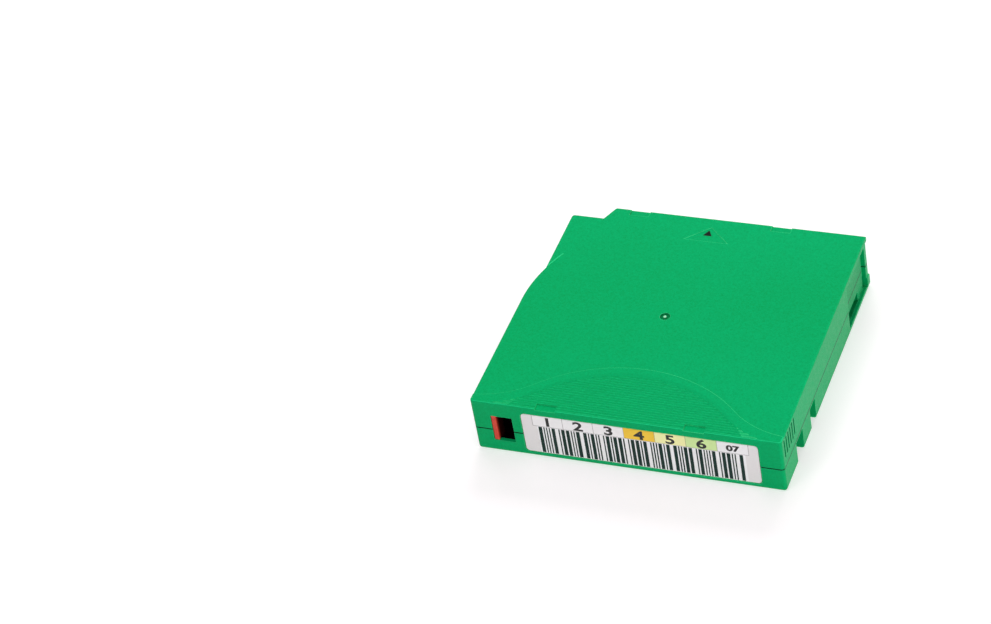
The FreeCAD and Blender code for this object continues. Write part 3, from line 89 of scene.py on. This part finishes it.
class Finish:
    """A material's node tree, with short calls for the nodes it is made of."""

    def __init__(self, name, roughness=0.5, metallic=0.0, specular=0.5):
        self.material = bpy.data.materials.new(name)
        self.material.use_nodes = True
        self.tree = self.material.node_tree
        self.shader = self.tree.nodes["Principled BSDF"]
        self.shader.inputs["Roughness"].default_value = roughness
        self.shader.inputs["Metallic"].default_value = metallic
        self.shader.inputs["Specular IOR Level"].default_value = specular
        place = self.tree.nodes.new("ShaderNodeTexCoord")
        self.place = place.outputs["Object"]
        split = self.tree.nodes.new("ShaderNodeSeparateXYZ")
        self.tree.links.new(self.place, split.inputs[0])
        self.x, self.y, self.z = split.outputs

    def wire(self, value, socket):
        if isinstance(value, bpy.types.NodeSocket):
            self.tree.links.new(value, socket)
        else:
            socket.default_value = value

    def math(self, operation, first, second=0.0):
        node = self.tree.nodes.new("ShaderNodeMath")
        node.operation = operation
        for value, socket in zip((first, second), node.inputs):
            self.wire(value, socket)
        return node.outputs[0]

    def between(self, value, low, high):
        """1 where low < value < high, else 0."""
        above = self.math("GREATER_THAN", value, low)
        return self.math("MULTIPLY", above, self.math("LESS_THAN", value, high))

    def within(self, *limits):
        """1 where each value lies between its low and high, given in millimetres."""
        inside = None
        for value, (low, high) in limits:
            here = self.between(value, low * MM, high * MM)
            inside = here if inside is None else self.math("MULTIPLY", inside, here)
        return inside

    def noise(self, scale, detail=2.0, rough=0.5, place=None):
        node = self.tree.nodes.new("ShaderNodeTexNoise")
        node.inputs["Scale"].default_value = scale
        node.inputs["Detail"].default_value = detail
        node.inputs["Roughness"].default_value = rough
        self.tree.links.new(place or self.place, node.inputs["Vector"])
        return node.outputs["Fac"]

    def stretched(self, x, y, z):
        """The object's own place, scaled by axis."""
        node = self.tree.nodes.new("ShaderNodeMapping")
        node.inputs["Scale"].default_value = (x, y, z)
        self.tree.links.new(self.place, node.inputs["Vector"])
        return node.outputs[0]

    def spread(self, value, low, high, to_low, to_high):
        node = self.tree.nodes.new("ShaderNodeMapRange")
        sockets = [node.inputs[n] for n in ("Value", "From Min", "From Max", "To Min", "To Max")]
        for item, socket in zip((value, low, high, to_low, to_high), sockets):
            self.wire(item, socket)
        return node.outputs[0]

    def mix(self, factor, first, second):
        node = self.tree.nodes.new("ShaderNodeMix")
        node.data_type = "RGBA"
        factor_in, first_in, second_in = node.inputs[0], node.inputs[6], node.inputs[7]
        for value, socket in ((factor, factor_in), (first, first_in), (second, second_in)):
            self.wire(painted(value), socket)
        return node.outputs[2]

    def stain(self, base, where, strength, colour):
        """The base, drawn towards a colour by a strength, where a mask is 1."""
        return self.mix(self.math("MULTIPLY", where, strength), base, colour)

    def colour(self, value):
        self.wire(painted(value), self.shader.inputs["Base Color"])

    def roughness(self, value):
        self.wire(value, self.shader.inputs["Roughness"])

    def bump(self, height, distance, strength=1.0):
        """Fine relief, as deep as the distance."""
        node = self.tree.nodes.new("ShaderNodeBump")
        node.inputs["Strength"].default_value = strength
        node.inputs["Distance"].default_value = distance
        self.wire(height, node.inputs["Height"])
        self.tree.links.new(node.outputs[0], self.shader.inputs["Normal"])

    def arris(self, radius):
        """1 along the edges, where the surface turns within the radius, and 0 on its flats."""
        soft = self.tree.nodes.new("ShaderNodeBevel")
        soft.samples = 6
        soft.inputs["Radius"].default_value = radius
        true = self.tree.nodes.new("ShaderNodeNewGeometry")
        turn = self.tree.nodes.new("ShaderNodeVectorMath")
        turn.operation = "DOT_PRODUCT"
        self.tree.links.new(soft.outputs[0], turn.inputs[0])
        self.tree.links.new(true.outputs["Normal"], turn.inputs[1])
        return self.spread(turn.outputs["Value"], 0.995, 0.9, 0.0, 1.0)

    def radius(self, centre_x, centre_y):
        """Distance from an upright axis."""
        x = self.math("SUBTRACT", self.x, centre_x)
        y = self.math("SUBTRACT", self.y, centre_y)
        square = self.math("ADD", self.math("MULTIPLY", x, x), self.math("MULTIPLY", y, y))
        return self.math("SQRT", square)

    def reel_radius(self):
        return self.radius(REEL_X, 0.0)


def paint(colour):
    """A screen colour, 0 to 255, as the shader's linear colour."""
    linear = []
    for part in colour[:3]:
        share = part / 255
        linear.append(share / 12.92 if share <= 0.04045 else ((share + 0.055) / 1.055) ** 2.4)
    return (*linear, 1.0)


def painted(value):
    """A screen colour made linear; a socket or a number as it is."""
    return paint(value) if isinstance(value, tuple) else value


def spark_textured_green(name, warm, cool):
    """Moulded green: spark-eroded grain, a faint drift of hue and sheen.
    Painted highlight makes the edges (most towards +x), the grip's furrows and the gate's nub
    lighter.
    Painted shade makes the grip's crests, the window's bay, the side holds and the gate's dimple
    darker.
    The seam is darker too. All of these go by their place on the case."""
    finish = Finish(name, roughness=0.42, specular=0.06)
    finish.shader.inputs["Sheen Weight"].default_value = 0.43
    finish.shader.inputs["Sheen Roughness"].default_value = 0.22
    x, y, z = finish.x, finish.y, finish.z

    drift = finish.spread(finish.noise(14, 2), 0.35, 0.65, 0.0, 1.0)
    base = finish.mix(drift, warm, cool)
    grain = finish.noise(3000, 3, 0.6)
    speck = finish.spread(grain, 0.3, 0.75, 0.0, 0.3)
    base = finish.mix(speck, base, (10, *(min(255, part + 38) for part in cool[1:])))
    deep = finish.spread(grain, 0.25, 0.5, 0.5, 0.0)
    base = finish.mix(deep, base, tuple(part * 0.86 for part in warm))
    mottle = finish.spread(finish.noise(1250, 2, 0.7), 0.36, 0.64, 0.0, 1.0)
    darker = finish.mix(0.22, base, MOTTLE_DARK)
    lighter = finish.mix(0.2, base, MOTTLE_LIGHT)
    base = finish.mix(mottle, darker, lighter)

    field = finish.math("LESS_THAN", finish.radius(0.0, ARCH_CENTRE), GRIP_REACH)
    field = finish.math("MULTIPLY", field, finish.math("GREATER_THAN", z, GRIP_BASE * MM))
    # Painted highlight along the edges: lighter where the surface turns, stronger towards +x,
    # broken up by noise, and kept off the grip field.
    highlight_strength = finish.spread(x, HIGHLIGHT_START * MM, HIGHLIGHT_END * MM, 0.55, 1.0)
    highlight_noise = finish.spread(finish.noise(220, 3), 0.3, 0.6, 0.7, 1.0)
    highlight_strength = finish.math("MULTIPLY", highlight_strength, highlight_noise)
    edge_highlight = finish.math("MULTIPLY", finish.arris(EDGE_RADIUS * MM), highlight_strength)
    base = finish.stain(base, edge_highlight, finish.math("SUBTRACT", 1.0, field), EDGE_HIGHLIGHT)
    # Painted highlight on the floors of the grip's furrows, and painted shade on its crests.
    base = finish.stain(base, finish.within((z, FURROW_Z)), 0.5, FURROW_HIGHLIGHT)
    above = finish.math("GREATER_THAN", z, CREST_BASE * MM)
    crest = finish.math("MULTIPLY", field, above)
    base = finish.stain(base, crest, 0.16, CREST_SHADE)

    # Painted shade in the holds on either side.
    either_side = finish.math("ABSOLUTE", x)
    hold = finish.within((either_side, HOLD_X), (y, HOLD_Y), (z, HOLD_Z))
    base = finish.stain(base, hold, 0.8, HOLD_SHADE)
    # Painted shade in the gate's dimple and a painted highlight on its nub.
    gate = finish.reel_radius()
    near = finish.math("LESS_THAN", gate, DIMPLE_RADIUS * MM)
    dimple = finish.math("MULTIPLY", near, finish.within((z, DIMPLE_Z)))
    base = finish.stain(base, dimple, 0.7, DIMPLE_SHADE)
    near = finish.math("LESS_THAN", gate, NUB_RADIUS * MM)
    above = finish.math("GREATER_THAN", z, NUB_BASE * MM)
    nub = finish.math("MULTIPLY", near, above)
    base = finish.stain(base, nub, 0.8, NUB_HIGHLIGHT)
    # Painted shade, near black, in the bay behind the write-protect window.
    base = finish.mix(finish.within((x, BAY_X), (y, BAY_Y), (z, BAY_Z)), base, BAY_SHADE)
    finish.colour(finish.mix(finish.within((z, SEAM_Z)), base, SEAM_DARK))
    finish.roughness(finish.spread(finish.noise(900, 3), 0.3, 0.7, 0.36, 0.50))
    finish.bump(grain, 0.00006, 0.6)
    return finish.material


def plain_moulding(name, colour, grain=1800, depth=0.00002, roughness=0.4):
    """Smooth inner plastic with faint flow marks."""
    finish = Finish(name, roughness=roughness)
    cloud = finish.spread(finish.noise(60, 3), 0.3, 0.7, 0.0, 1.0)
    darker = tuple(part * 0.93 for part in colour)
    finish.colour(finish.mix(cloud, darker, colour))
    low, high = roughness - 0.06, roughness + 0.06
    finish.roughness(finish.spread(finish.noise(400, 2), 0.3, 0.7, low, high))
    finish.bump(finish.noise(grain, 3), depth, 0.5)
    return finish.material


def slider_plastic(name):
    """The slider's red, with painted shade: it darkens from the finger rib's face back into its
    bay.
    """
    finish = Finish(name, roughness=0.38, specular=0.3)
    # Painted shade: the red darkens with depth behind the rib's face, towards near black.
    depth = finish.spread(finish.y, -50.75 * MM, -49.2 * MM, 0.0, 1.0)
    cloud = finish.spread(finish.noise(900, 3), 0.3, 0.7, 0.0, 1.0)
    face = finish.mix(cloud, (204, 62, 46), (226, 78, 56))
    finish.colour(finish.mix(finish.math("POWER", depth, 0.6), face, (44, 7, 6)))
    finish.roughness(finish.spread(finish.noise(700, 2), 0.3, 0.7, 0.3, 0.44))
    finish.bump(finish.noise(2600, 3), 0.00003, 0.5)
    return finish.material


def ground_steel(name, colour, along=(1.0, 1.0, 1.0), roughness=0.3):
    """Bright steel with fine lines left by grinding or drawing."""
    finish = Finish(name, roughness=roughness, metallic=1.0)
    lines = finish.noise(900, 3, 0.6, finish.stretched(*along))
    finish.colour(finish.mix(lines, tuple(part * 0.85 for part in colour), colour))
    finish.roughness(finish.spread(lines, 0.3, 0.7, roughness - 0.08, roughness + 0.1))
    finish.bump(lines, 0.000008, 0.4)
    return finish.material


def turned_steel(name, colour):
    """The reel's plate: rings left by the lathe."""
    finish = Finish(name, roughness=0.32, metallic=1.0)
    rings = finish.math("SINE", finish.math("MULTIPLY", finish.reel_radius(), 26000))
    finish.colour(finish.mix(finish.noise(300, 2), tuple(part * 0.82 for part in colour), colour))
    finish.roughness(finish.spread(finish.noise(500, 2), 0.3, 0.7, 0.24, 0.40))
    finish.bump(rings, 0.000006, 0.5)
    return finish.material


def wound_tape(name):
    """The edges of some thousand windings: dark, glossy, with faint proud layers."""
    finish = Finish(name, roughness=0.25)
    radius = finish.reel_radius()
    layers = finish.tree.nodes.new("ShaderNodeTexNoise")
    layers.noise_dimensions = "1D"
    layers.inputs["Scale"].default_value = 9000
    layers.inputs["Detail"].default_value = 4
    finish.tree.links.new(radius, layers.inputs["W"])
    finish.colour(finish.mix(layers.outputs["Fac"], (20, 15, 13), (52, 42, 37)))
    finish.roughness(finish.spread(layers.outputs["Fac"], 0.3, 0.7, 0.2, 0.42))
    finish.bump(layers.outputs["Fac"], 0.00003, 0.6)
    return finish.material


def tape_film(name):
    """The tape's free end: dark, smooth film with streaks along it."""
    finish = Finish(name, roughness=0.18)
    streaks = finish.noise(200, 2, 0.5, finish.stretched(0.05, 0.05, 4.0))
    finish.colour(finish.mix(streaks, (22, 17, 15), (36, 29, 26)))
    finish.roughness(finish.spread(streaks, 0.3, 0.7, 0.12, 0.24))
    return finish.material


def is_wide(count):
    """Whether the bar or gap of this number is a wide one, by a rule with no meaning."""
    if count % 2:
        return (4 * count * count + 12 * count) % 13 < 4
    return (count * count + count) % 11 < 1


def bars(finish):
    """1 on the bars. A colour ramp holds few stops, so the band takes several ramps."""
    edges = [BARS_START]
    while edges[-1] < BARS_END:
        edges.append(edges[-1] + (WIDE_BAR if is_wide(len(edges)) else NARROW_BAR))
    inked = None
    stretch = (edges[-1] - BARS_START) / BAR_RAMPS
    for part in range(BAR_RAMPS):
        low = BARS_START + part * stretch
        ramp = finish.tree.nodes.new("ShaderNodeValToRGB")
        ramp.color_ramp.interpolation = "CONSTANT"
        stops = ramp.color_ramp.elements
        stops.remove(stops[1])
        before = sum(edge <= low for edge in edges)
        stops[0].position = 0.0
        stops[0].color = (before % 2,) * 3 + (1.0,)
        for index, edge in enumerate(edges):
            if low < edge < low + stretch:
                stop = stops.new((edge - low) / stretch)
                stop.color = ((index + 1) % 2,) * 3 + (1.0,)
        high = low + stretch
        along = finish.spread(finish.x, low * MM, high * MM, 0.0, 1.0)
        finish.tree.links.new(along, ramp.inputs[0])
        here = finish.within((finish.x, (low, high)))
        here = finish.math("MULTIPLY", here, ramp.outputs[0])
        inked = here if inked is None else finish.math("ADD", inked, here)
    return inked


def label_print(name):
    """Coated paper: a row of coloured cells over a band of plain stripes."""
    finish = Finish(name, roughness=0.38, specular=0.2)
    fibre = finish.noise(2400, 3)
    ends = finish.between(finish.x, (BARS_START - 0.4) * MM, (BARS_END + 0.6) * MM)
    paper = finish.mix(fibre, (236, 233, 233), (245, 242, 242))
    paper = finish.mix(ends, paper, (252, 252, 253))
    x, z = finish.x, finish.z
    row = finish.math("GREATER_THAN", z, CELL_BASE * MM)
    ground = paper
    for index, colour in enumerate(CELL_COLOURS):
        start = (CELL_START + index * CELL_PITCH) * MM
        here = finish.math("MULTIPLY", row, finish.between(x, start, start + CELL_PITCH * MM))
        ground = finish.mix(here, ground, colour)
    line = RULE_HALF * MM
    ruling = None
    for index in range(len(CELL_COLOURS) + 1):
        middle = (CELL_START + index * CELL_PITCH) * MM
        rule = finish.math("MULTIPLY", row, finish.between(x, middle - line, middle + line))
        ruling = rule if ruling is None else finish.math("MAXIMUM", ruling, rule)
    foot = finish.between(z, CELL_BASE * MM - line, CELL_BASE * MM + line)
    end = (CELL_START + len(CELL_COLOURS) * CELL_PITCH) * MM
    foot = finish.math("MULTIPLY", foot, finish.between(x, CELL_START * MM, end))
    ruling = finish.math("MAXIMUM", ruling, foot)
    ground = finish.mix(finish.math("MULTIPLY", ruling, 0.6), ground, (92, 84, 84))

    band = finish.math("MULTIPLY", bars(finish), finish.between(z, BAND_BASE * MM, BAND_TOP * MM))
    ink = finish.mix(fibre, (0, 36, 30), (0, 46, 38))
    finish.colour(finish.mix(band, ground, ink))
    finish.roughness(finish.spread(finish.noise(700, 2), 0.3, 0.7, 0.32, 0.46))
    finish.bump(fibre, 0.00001, 0.4)
    return finish.material


CELL_START = -31.7
CELL_PITCH = 10.44
CELL_BASE = 13.85
CELL_COLOURS = (
    (253, 252, 253),
    (253, 252, 253),
    (253, 252, 253),
    (255, 210, 72),
    (255, 253, 184),
    (218, 244, 170),
    (252, 251, 253),
)
BARS_START = -29.9
BARS_END = 39.6
NARROW_BAR = 0.46
WIDE_BAR = 1.2
BAR_RAMPS = 5
BAND_BASE = 2.25
BAND_TOP = 13.6
RULE_HALF = 0.09

# Figures on the label, in millimetres: how far the ink stands out and swells the letters.
INK_DEPTH = 0.006
INK_SWELL = 0.15
CAPITAL_SHARE = 0.70
CELL_MIDDLE = 1.95

ARROW_FLOOR = 21.1
ARROW_RADIUS = 1.8
ARROW_DEPTH = 0.02
ARROW_X, ARROW_Y = -0.3, 43.0

GREEN_WARM = (0, 163, 88)
GREEN_COOL = (0, 170, 99)

case_green = spark_textured_green("spark_textured_case_green", GREEN_WARM, GREEN_COOL)
door_green = spark_textured_green("spark_textured_door_green", (0, 150, 80), (0, 158, 90))
slider_red = slider_plastic("slider_red_orange")
hub_plastic = plain_moulding("hub_warm_grey", (214, 213, 206))
reel_plastic = plain_moulding("flange_light_grey", (205, 207, 206), roughness=0.3)
brake_plastic = plain_moulding("brake_ivory", (232, 228, 214))
release_plastic = plain_moulding("release_white", (238, 238, 234))
clip_plastic = plain_moulding("clip_black", (34, 34, 36))
chip_black = plain_moulding("chip_matt_black", (28, 28, 31), 3000, 0.00001, 0.55)
spring_steel = ground_steel("drawn_spring_steel", (205, 203, 198))
pin_steel = ground_steel("ground_pin_steel", (214, 213, 208), (1.0, 1.0, 12.0), 0.22)
screw_steel = ground_steel("blackened_screw_steel", (88, 87, 86), roughness=0.38)
plate_steel = turned_steel("turned_plate_steel", (196, 196, 192))
tape_pack = wound_tape("wound_tape_edges")
tape_end = tape_film("tape_film")
label_paper = label_print("printed_label")
print_black = plain_moulding("printing_ink", (14, 17, 16), 3000, 0.000005, 0.45)

FINISH_OF = {
    "upper_shell": case_green,
    "lower_shell": case_green,
    "access_door": door_green,
    "write_protect_slider": slider_red,
    "label": label_paper,
    "reel_hub": hub_plastic,
    "reel_top_flange": reel_plastic,
    "reel_plate": plate_steel,
    "tape_pack": tape_pack,
    "tape_leader": tape_end,
    "leader_pin": pin_steel,
    "pin_clip": clip_plastic,
    "pin_spring": spring_steel,
    "door_spring": spring_steel,
    "brake_spring": spring_steel,
    "brake_button": brake_plastic,
    "release_plate": release_plastic,
    "memory_chip": chip_black,
}
for name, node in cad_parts.items():
    node.data.materials.clear()
    node.data.materials.append(FINISH_OF.get(name, screw_steel))


# ---------------------------------------------------------------- printed pieces


def start_clean():
    bpy.ops.object.select_all(action="DESELECT")


def settle(piece, name, material, body):
    """Apply a new piece's place, name it and let it ride."""
    start_clean()
    piece.select_set(True)
    bpy.context.view_layer.objects.active = piece
    bpy.ops.object.transform_apply(location=True, rotation=True, scale=True)
    piece.name = name
    piece.data.name = name
    piece.data.materials.clear()
    piece.data.materials.append(material)
    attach(piece, body)
    return piece


def label_figure(name, text, cell, height, wide):
    """A plain figure printed in a cell of the label."""
    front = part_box("label")[0].y
    middle = (CELL_START + (cell + 0.5) * CELL_PITCH) * MM
    start_clean()
    bpy.ops.object.text_add(rotation=(math.pi / 2, 0, 0))
    figure = bpy.context.object
    figure.data.body = text
    figure.data.align_x = "CENTER"
    figure.data.align_y = "CENTER"
    figure.data.size = height * MM / CAPITAL_SHARE
    figure.data.offset = INK_SWELL * MM
    figure.data.extrude = INK_DEPTH * MM
    figure.data.resolution_u = 6
    figure.scale = (wide, 1, 1)
    figure.location = (middle, front - INK_DEPTH * MM, (CELL_BASE + CELL_MIDDLE) * MM)
    bpy.ops.object.convert(target="MESH")
    return settle(bpy.context.object, name, print_black, "case")


for index in range(6):
    label_figure(f"label_figure_{index + 1}", str(index + 1), index, 3.6, 1.35)
label_figure("label_figure_7", "07", 6, 2.3, 1.3)


def printed_arrowhead():
    """The small black arrowhead in the insertion arrow."""
    start_clean()
    middle = ARROW_FLOOR * MM + ARROW_DEPTH / 2 * MM
    bpy.ops.mesh.primitive_cylinder_add(
        vertices=3,
        radius=ARROW_RADIUS * MM,
        depth=ARROW_DEPTH * MM,
        location=(ARROW_X * MM, ARROW_Y * MM, middle),
    )
    arrow = bpy.context.object
    bpy.ops.object.mode_set(mode="EDIT")
    bpy.ops.mesh.select_all(action="SELECT")
    bpy.ops.transform.resize(value=(1.0, 1.02, 1.0))
    bpy.ops.object.mode_set(mode="OBJECT")
    return settle(arrow, "printed_arrowhead", print_black, "case")


printed_arrowhead()


# ---------------------------------------------------------------- springs


WIRE_SIDES = 10
STEPS_A_TURN = 26


def wound_spring(name, node, radius, wire, turns, axis):
    """Round wire wound along an axis."""
    low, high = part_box(node)
    length = (high - low)[axis]
    start_clean()
    bpy.ops.mesh.primitive_circle_add(
        vertices=WIRE_SIDES,
        radius=wire,
        location=(radius, 0, wire),
        rotation=(math.pi / 2, 0, 0),
    )
    spring = bpy.context.object
    bpy.ops.object.transform_apply(location=True, rotation=True, scale=True)
    winding = spring.modifiers.new("winding", "SCREW")
    winding.axis = "Z"
    winding.screw_offset = (length - 2 * wire) / turns
    winding.iterations = turns
    winding.steps = winding.render_steps = STEPS_A_TURN
    bpy.ops.object.modifier_apply(modifier=winding.name)
    bpy.ops.object.mode_set(mode="EDIT")
    bpy.ops.mesh.select_all(action="SELECT")
    bpy.ops.mesh.remove_doubles(threshold=1e-6)
    bpy.ops.mesh.fill_holes(sides=0)
    bpy.ops.mesh.normals_make_consistent(inside=False)
    bpy.ops.object.mode_set(mode="OBJECT")
    bpy.ops.object.shade_smooth_by_angle(angle=math.radians(50))
    spring.location = (low + high) / 2
    spring.location[axis] = low[axis]
    if axis == 1:
        spring.rotation_euler = (-math.pi / 2, 0, 0)
    settle(spring, name, spring_steel, "case")
    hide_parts(node)
    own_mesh(spring)


wound_spring("brake_spring_coil", "brake_spring", 8.4 * MM, 0.45 * MM, 4, 2)
wound_spring("door_spring_coil", "door_spring", 1.05 * MM, 0.2 * MM, 9, 1)


# ---------------------------------------------------------------- table, light and camera


TABLE_SIZE = 6.0
TABLE_TOP = -0.0001
TABLE_COLOUR = (206, 199, 202)
TABLE_GLOW = 0.52
SHORT_RAY = 0.0006
WALL_LEVEL, CEILING_LEVEL = 1.1, 0.15
WALL_END, CEILING_START = 0.1, 0.4

# Name, place, what it faces, width and height, power, and whether gloss shows it.
LAMPS = (
    ("softbox_behind", (-0.10, 0.74, 0.66), (0, 0, 0), (0.5, 0.4), 4.6, False),
    ("softbox_left", (-0.54, 0.54, 0.64), (0, 0, 0), (0.3, 0.3), 0.8, False),
    ("softbox_over", (0.0, -0.1, 1.3), (0, 0, 0), (1.6, 1.6), 6.4, False),
    ("softbox_side", (0.86, -0.48, 0.20), (0, 0, 0.01), (0.7, 0.4), 4.2, False),
    ("softbox_low_right", (0.42, 1.13, 0.28), (0, 0, 0.01), (1.1, 0.26), 3.2, True),
    ("softbox_front", (-0.295, -0.663, 0.687), (0, 0, 0), (0.26, 0.26), 1.5, False),
)

FOCAL_LENGTH = 117.86
SENSOR_WIDTH = 36.0
CAMERA_PLACE = (0.318632, -0.742164, 0.724032)
CAMERA_TURN = (49.04932, 8.45515, 19.95885)


def table():
    """A pale table top, just under the part."""
    start_clean()
    bpy.ops.mesh.primitive_plane_add(size=TABLE_SIZE, location=(0, 0, TABLE_TOP))
    top = bpy.context.object
    top.name = "table_top"
    finish = Finish("white_table", roughness=0.3, specular=0.2)
    finish.colour(TABLE_COLOUR)
    finish.shader.inputs["Emission Color"].default_value = (1, 1, 1, 1)
    path = finish.tree.nodes.new("ShaderNodeLightPath")
    seen = finish.math("MAXIMUM", path.outputs["Is Camera Ray"], path.outputs["Is Glossy Ray"])
    seen = finish.math("MAXIMUM", seen, path.outputs["Is Transmission Ray"])
    glow = finish.math("MULTIPLY", seen, TABLE_GLOW)
    finish.wire(glow, finish.shader.inputs["Emission Strength"])
    # The table is clear from behind, so that the underside can be seen, and clear to short
    # rays other than the camera's, so that light reaches the underside.
    side = finish.tree.nodes.new("ShaderNodeNewGeometry").outputs["Backfacing"]
    close = finish.math("LESS_THAN", path.outputs["Ray Length"], SHORT_RAY)
    others = finish.math("SUBTRACT", 1.0, path.outputs["Is Camera Ray"])
    close = finish.math("MULTIPLY", close, others)
    clear = finish.tree.nodes.new("ShaderNodeBsdfTransparent")
    blend = finish.tree.nodes.new("ShaderNodeMixShader")
    finish.wire(finish.math("MAXIMUM", side, close), blend.inputs[0])
    finish.tree.links.new(finish.shader.outputs[0], blend.inputs[1])
    finish.tree.links.new(clear.outputs[0], blend.inputs[2])
    finish.tree.links.new(blend.outputs[0], finish.tree.nodes["Material Output"].inputs["Surface"])
    top.data.materials.append(finish.material)


def surround():
    """A pale room: bright walls, a dimmer ceiling."""
    world = bpy.data.worlds.new("white_room")
    bpy.context.scene.world = world
    world.use_nodes = True
    nodes = world.node_tree.nodes
    links = world.node_tree.links
    sky = nodes["Background"]
    sky.inputs["Color"].default_value = (1, 1, 1, 1)
    way = nodes.new("ShaderNodeTexCoord")
    split = nodes.new("ShaderNodeSeparateXYZ")
    level = nodes.new("ShaderNodeMapRange")
    level.inputs["From Min"].default_value = WALL_END
    level.inputs["From Max"].default_value = CEILING_START
    level.inputs["To Min"].default_value = WALL_LEVEL
    level.inputs["To Max"].default_value = CEILING_LEVEL
    links.new(way.outputs["Generated"], split.inputs[0])
    links.new(split.outputs["Z"], level.inputs["Value"])
    seen = nodes.new("ShaderNodeLightPath")
    brighter = nodes.new("ShaderNodeMath")
    brighter.operation = "MAXIMUM"
    links.new(level.outputs[0], brighter.inputs[0])
    links.new(seen.outputs["Is Camera Ray"], brighter.inputs[1])
    links.new(brighter.outputs[0], sky.inputs["Strength"])


def soft_light(name, place, target, size, power, gleam):
    """A rectangular lamp; gleam tells whether glossy surfaces reflect it."""
    lamp = bpy.data.lights.new(name, "AREA")
    lamp.shape = "RECTANGLE"
    lamp.size, lamp.size_y = size
    lamp.energy = power
    holder = bpy.data.objects.new(name, lamp)
    bpy.context.scene.collection.objects.link(holder)
    holder.location = place
    holder.rotation_euler = (Vector(target) - Vector(place)).to_track_quat("-Z", "Y").to_euler()
    holder.visible_glossy = gleam


def camera():
    """The camera, at the angle of a product view from above."""
    lens = bpy.data.cameras.new("camera")
    lens.lens = FOCAL_LENGTH
    lens.sensor_width = SENSOR_WIDTH
    lens.clip_start = 0.05
    lens.clip_end = 20.0
    holder = bpy.data.objects.new("camera", lens)
    bpy.context.scene.collection.objects.link(holder)
    holder.location = CAMERA_PLACE
    holder.rotation_euler = [math.radians(angle) for angle in CAMERA_TURN]
    bpy.context.scene.camera = holder


table()
surround()
for lamp in LAMPS:
    soft_light(*lamp)
camera()
bpy.context.scene.view_settings.view_transform = "Standard"
